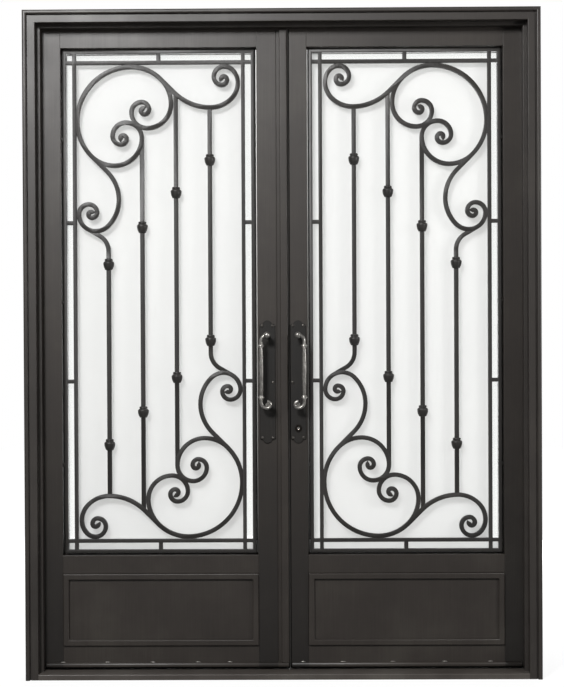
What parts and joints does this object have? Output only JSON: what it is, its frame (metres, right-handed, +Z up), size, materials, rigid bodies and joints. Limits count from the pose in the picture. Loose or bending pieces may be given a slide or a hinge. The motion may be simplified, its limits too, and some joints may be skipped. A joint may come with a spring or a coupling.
{
  "type": "double entry door",
  "caption": "Wrought iron double entry door: stepped frame with a threshold, two in-swing leaves with scrollwork grilles over frosted glass, kick panels and pull handles.",
  "frame": {"origin": "centre of the threshold's underside, midway between the jamb's outside and inside faces", "axes": "+X to the right seen from outside, -Y towards the outside, +Z up"},
  "size_m": [1.88, 0.1974, 2.438],
  "materials": {
    "frame_iron": "dark bronze paint, satin, faintly brushed",
    "leaf_iron": "dark bronze paint, satin, faintly brushed",
    "grille_iron": "dark bronze paint over forged bars",
    "threshold_steel": "dark bronze paint, worn on the nose",
    "frosted_glass": "acid-etched, white",
    "pull_pewter": "dark pewter, hand rubbed",
    "pull_plate_iron": "dark bronze paint, satin",
    "lock_brass": "darkened",
    "hinge_steel": "dark bronze paint"
  },
  "bodies": {
    "frame": {"head_jamb": "frame_iron", "head_stop": "frame_iron", "left_frame_hinges": "hinge_steel", "left_jamb": "frame_iron", "left_stop": "frame_iron", "right_frame_hinges": "hinge_steel", "right_jamb": "frame_iron", "right_stop": "frame_iron", "threshold": "threshold_steel"},
    "left_leaf": {"astragal": "leaf_iron", "left_bottom_rail": "leaf_iron", "left_drip_bar": "leaf_iron", "left_glass": "frosted_glass", "left_glazing_frame": "leaf_iron", "left_grille_border": "grille_iron", "left_hinge_stile": "leaf_iron", "left_inner_pull": "pull_pewter", "left_kick_moulding": "leaf_iron", "left_kick_panel": "leaf_iron", "left_leaf_hinges": "hinge_steel", "left_meeting_stile": "leaf_iron", "left_middle_rail": "leaf_iron", "left_pickets": "grille_iron", "left_pull_handle": "pull_pewter", "left_pull_plate": "pull_plate_iron", "left_scrollwork": "grille_iron", "left_top_rail": "leaf_iron"},
    "right_leaf": {"lock_cylinder": "lock_brass", "right_bottom_rail": "leaf_iron", "right_drip_bar": "leaf_iron", "right_glass": "frosted_glass", "right_glazing_frame": "leaf_iron", "right_grille_border": "grille_iron", "right_hinge_stile": "leaf_iron", "right_inner_pull": "pull_pewter", "right_kick_moulding": "leaf_iron", "right_kick_panel": "leaf_iron", "right_leaf_hinges": "hinge_steel", "right_meeting_stile": "leaf_iron", "right_middle_rail": "leaf_iron", "right_pickets": "grille_iron", "right_pull_handle": "pull_pewter", "right_pull_plate": "pull_plate_iron", "right_scrollwork": "grille_iron", "right_top_rail": "leaf_iron"}
  },
  "joints": [
    {"name": "left_hinge", "type": "hinge", "parent": "frame", "child": "left_leaf", "pos_m": [-0.8915, 0.075, 0], "axis": [0, 0, 1], "range_deg": [0, 105]},
    {"name": "right_hinge", "type": "hinge", "parent": "frame", "child": "right_leaf", "pos_m": [0.8915, 0.075, 0], "axis": [0, 0, -1], "range_deg": [0, 105]}
  ]
}
